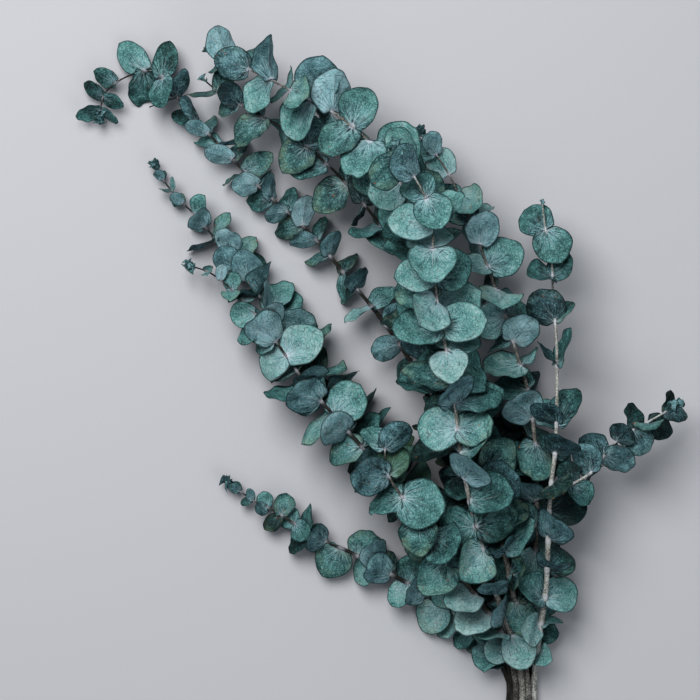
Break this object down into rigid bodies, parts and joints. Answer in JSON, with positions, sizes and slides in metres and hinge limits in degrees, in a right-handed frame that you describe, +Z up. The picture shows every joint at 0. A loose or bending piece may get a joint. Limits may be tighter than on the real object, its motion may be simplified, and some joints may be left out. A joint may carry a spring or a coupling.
{
  "type": "bunch of dried eucalyptus",
  "caption": "Loose bunch of long dried eucalyptus stems with round blue-green leaves in opposite pairs, gathered at the cut ends and lying on a surface.",
  "frame": {"origin": "middle of the footprint of the lying bunch, on the surface that it rests on", "axes": "+Z up from the surface; +Y along the stems, from the cut ends towards the tips"},
  "size_m": [0.4064, 0.5004, 0.1217],
  "materials": {
    "leaf": "matte dusty leaf, blue-green with paler veins and specks",
    "stem": "dull mottled bark"
  },
  "bodies": {
    "root": {"front_column": "leaf", "right_stem": "leaf", "upper_arch": "leaf", "right_column": "leaf", "middle_arch": "leaf", "low_branch": "leaf", "left_inner": "leaf", "far_arch": "leaf", "left_outer": "leaf", "low_left": "leaf", "back_right": "leaf", "back_column": "leaf"}
  },
  "joints": []
}
